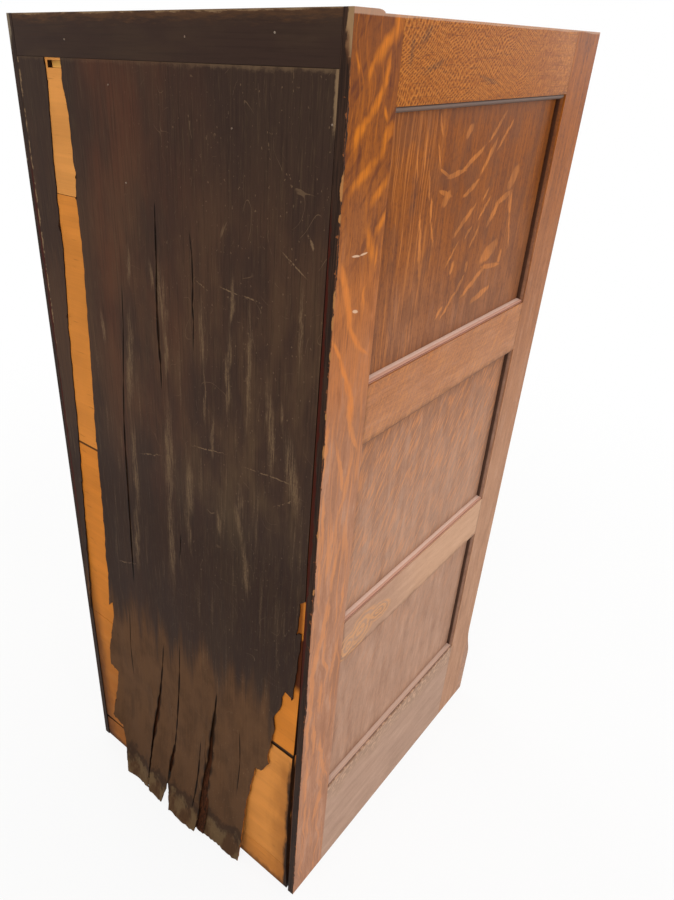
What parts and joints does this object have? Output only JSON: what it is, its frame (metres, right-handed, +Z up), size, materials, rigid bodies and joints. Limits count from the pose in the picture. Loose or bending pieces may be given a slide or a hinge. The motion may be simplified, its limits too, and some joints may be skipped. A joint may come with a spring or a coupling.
{
  "type": "index card filing cabinet",
  "caption": "Tall oak filing cabinet for index cards: panelled sides, card drawers side by side with brass pulls and sliding followers, and a back whose outer sheet is torn.",
  "frame": {"origin": "on the floor, under the middle of the whole cabinet, plinth and curled back sheet included", "axes": "+Z up; the drawers open towards -Y and the back faces +Y; +X is to the right when facing the drawers"},
  "size_m": [0.52, 0.661, 1.32],
  "materials": {
    "stile_oak": "old shellac over quarter-sawn oak",
    "rail_oak": "old shellac over quarter-sawn oak",
    "panel_oak": "old shellac over quarter-sawn oak",
    "moulding_oak": "dusty old shellac",
    "drawer_oak": "old shellac over quarter-sawn oak",
    "inner_wood": "bare and waxed",
    "back_rail_stain": "dark stain, worn at the edges",
    "back_board_wood": "bare, orange with age",
    "back_sheet_wood": "dark stain, split and scratched",
    "pull_brass": "dulled and rubbed"
  },
  "bodies": {
    "case": {"left_rear_stile": "stile_oak", "left_front_stile": "stile_oak", "left_side_rails": "rail_oak", "left_side_panels": "panel_oak", "left_panel_mouldings": "moulding_oak", "right_rear_stile": "stile_oak", "right_front_stile": "stile_oak", "right_side_rails": "rail_oak", "right_side_panels": "panel_oak", "right_panel_mouldings": "moulding_oak", "top_board": "rail_oak", "bottom_board": "inner_wood", "back_top_rail": "back_rail_stain", "back_board_top": "back_board_wood", "back_board_upper": "back_board_wood", "back_board_middle": "back_board_wood", "back_board_lower": "back_board_wood", "back_board_foot": "back_board_wood", "back_sheet": "back_sheet_wood", "centre_partition": "rail_oak", "front_top_rail": "rail_oak", "front_rails": "rail_oak", "plinth_board": "rail_oak", "drawer_runners": "inner_wood"},
    "drawer_left_1": {"drawer_left_1": "drawer_oak", "pull_left_1": "pull_brass"},
    "follower_left_1": {"follower_left_1": "inner_wood"},
    "drawer_left_2": {"drawer_left_2": "drawer_oak", "pull_left_2": "pull_brass"},
    "follower_left_2": {"follower_left_2": "inner_wood"},
    "drawer_left_3": {"drawer_left_3": "drawer_oak", "pull_left_3": "pull_brass"},
    "follower_left_3": {"follower_left_3": "inner_wood"},
    "drawer_left_4": {"drawer_left_4": "drawer_oak", "pull_left_4": "pull_brass"},
    "follower_left_4": {"follower_left_4": "inner_wood"},
    "drawer_left_5": {"drawer_left_5": "drawer_oak", "pull_left_5": "pull_brass"},
    "follower_left_5": {"follower_left_5": "inner_wood"},
    "drawer_left_6": {"drawer_left_6": "drawer_oak", "pull_left_6": "pull_brass"},
    "follower_left_6": {"follower_left_6": "inner_wood"},
    "drawer_right_1": {"drawer_right_1": "drawer_oak", "pull_right_1": "pull_brass"},
    "follower_right_1": {"follower_right_1": "inner_wood"},
    "drawer_right_2": {"drawer_right_2": "drawer_oak", "pull_right_2": "pull_brass"},
    "follower_right_2": {"follower_right_2": "inner_wood"},
    "drawer_right_3": {"drawer_right_3": "drawer_oak", "pull_right_3": "pull_brass"},
    "follower_right_3": {"follower_right_3": "inner_wood"},
    "drawer_right_4": {"drawer_right_4": "drawer_oak", "pull_right_4": "pull_brass"},
    "follower_right_4": {"follower_right_4": "inner_wood"},
    "drawer_right_5": {"drawer_right_5": "drawer_oak", "pull_right_5": "pull_brass"},
    "follower_right_5": {"follower_right_5": "inner_wood"},
    "drawer_right_6": {"drawer_right_6": "drawer_oak", "pull_right_6": "pull_brass"},
    "follower_right_6": {"follower_right_6": "inner_wood"}
  },
  "joints": [
    {"name": "drawer_left_1_slide", "type": "slide", "parent": "case", "child": "drawer_left_1", "axis": [0, -1, 0], "range_m": [0, 0.43]},
    {"name": "follower_left_1_slide", "type": "slide", "parent": "drawer_left_1", "child": "follower_left_1", "axis": [0, 1, 0], "range_m": [-0.35, 0]},
    {"name": "drawer_left_2_slide", "type": "slide", "parent": "case", "child": "drawer_left_2", "axis": [0, -1, 0], "range_m": [0, 0.43]},
    {"name": "follower_left_2_slide", "type": "slide", "parent": "drawer_left_2", "child": "follower_left_2", "axis": [0, 1, 0], "range_m": [-0.35, 0]},
    {"name": "drawer_left_3_slide", "type": "slide", "parent": "case", "child": "drawer_left_3", "axis": [0, -1, 0], "range_m": [0, 0.43]},
    {"name": "follower_left_3_slide", "type": "slide", "parent": "drawer_left_3", "child": "follower_left_3", "axis": [0, 1, 0], "range_m": [-0.35, 0]},
    {"name": "drawer_left_4_slide", "type": "slide", "parent": "case", "child": "drawer_left_4", "axis": [0, -1, 0], "range_m": [0, 0.43]},
    {"name": "follower_left_4_slide", "type": "slide", "parent": "drawer_left_4", "child": "follower_left_4", "axis": [0, 1, 0], "range_m": [-0.35, 0]},
    {"name": "drawer_left_5_slide", "type": "slide", "parent": "case", "child": "drawer_left_5", "axis": [0, -1, 0], "range_m": [0, 0.43]},
    {"name": "follower_left_5_slide", "type": "slide", "parent": "drawer_left_5", "child": "follower_left_5", "axis": [0, 1, 0], "range_m": [-0.35, 0]},
    {"name": "drawer_left_6_slide", "type": "slide", "parent": "case", "child": "drawer_left_6", "axis": [0, -1, 0], "range_m": [0, 0.43]},
    {"name": "follower_left_6_slide", "type": "slide", "parent": "drawer_left_6", "child": "follower_left_6", "axis": [0, 1, 0], "range_m": [-0.35, 0]},
    {"name": "drawer_right_1_slide", "type": "slide", "parent": "case", "child": "drawer_right_1", "axis": [0, -1, 0], "range_m": [0, 0.43]},
    {"name": "follower_right_1_slide", "type": "slide", "parent": "drawer_right_1", "child": "follower_right_1", "axis": [0, 1, 0], "range_m": [-0.35, 0]},
    {"name": "drawer_right_2_slide", "type": "slide", "parent": "case", "child": "drawer_right_2", "axis": [0, -1, 0], "range_m": [0, 0.43]},
    {"name": "follower_right_2_slide", "type": "slide", "parent": "drawer_right_2", "child": "follower_right_2", "axis": [0, 1, 0], "range_m": [-0.35, 0]},
    {"name": "drawer_right_3_slide", "type": "slide", "parent": "case", "child": "drawer_right_3", "axis": [0, -1, 0], "range_m": [0, 0.43]},
    {"name": "follower_right_3_slide", "type": "slide", "parent": "drawer_right_3", "child": "follower_right_3", "axis": [0, 1, 0], "range_m": [-0.35, 0]},
    {"name": "drawer_right_4_slide", "type": "slide", "parent": "case", "child": "drawer_right_4", "axis": [0, -1, 0], "range_m": [0, 0.43]},
    {"name": "follower_right_4_slide", "type": "slide", "parent": "drawer_right_4", "child": "follower_right_4", "axis": [0, 1, 0], "range_m": [-0.35, 0]},
    {"name": "drawer_right_5_slide", "type": "slide", "parent": "case", "child": "drawer_right_5", "axis": [0, -1, 0], "range_m": [0, 0.43]},
    {"name": "follower_right_5_slide", "type": "slide", "parent": "drawer_right_5", "child": "follower_right_5", "axis": [0, 1, 0], "range_m": [-0.35, 0]},
    {"name": "drawer_right_6_slide", "type": "slide", "parent": "case", "child": "drawer_right_6", "axis": [0, -1, 0], "range_m": [0, 0.43]},
    {"name": "follower_right_6_slide", "type": "slide", "parent": "drawer_right_6", "child": "follower_right_6", "axis": [0, 1, 0], "range_m": [-0.35, 0]}
  ]
}
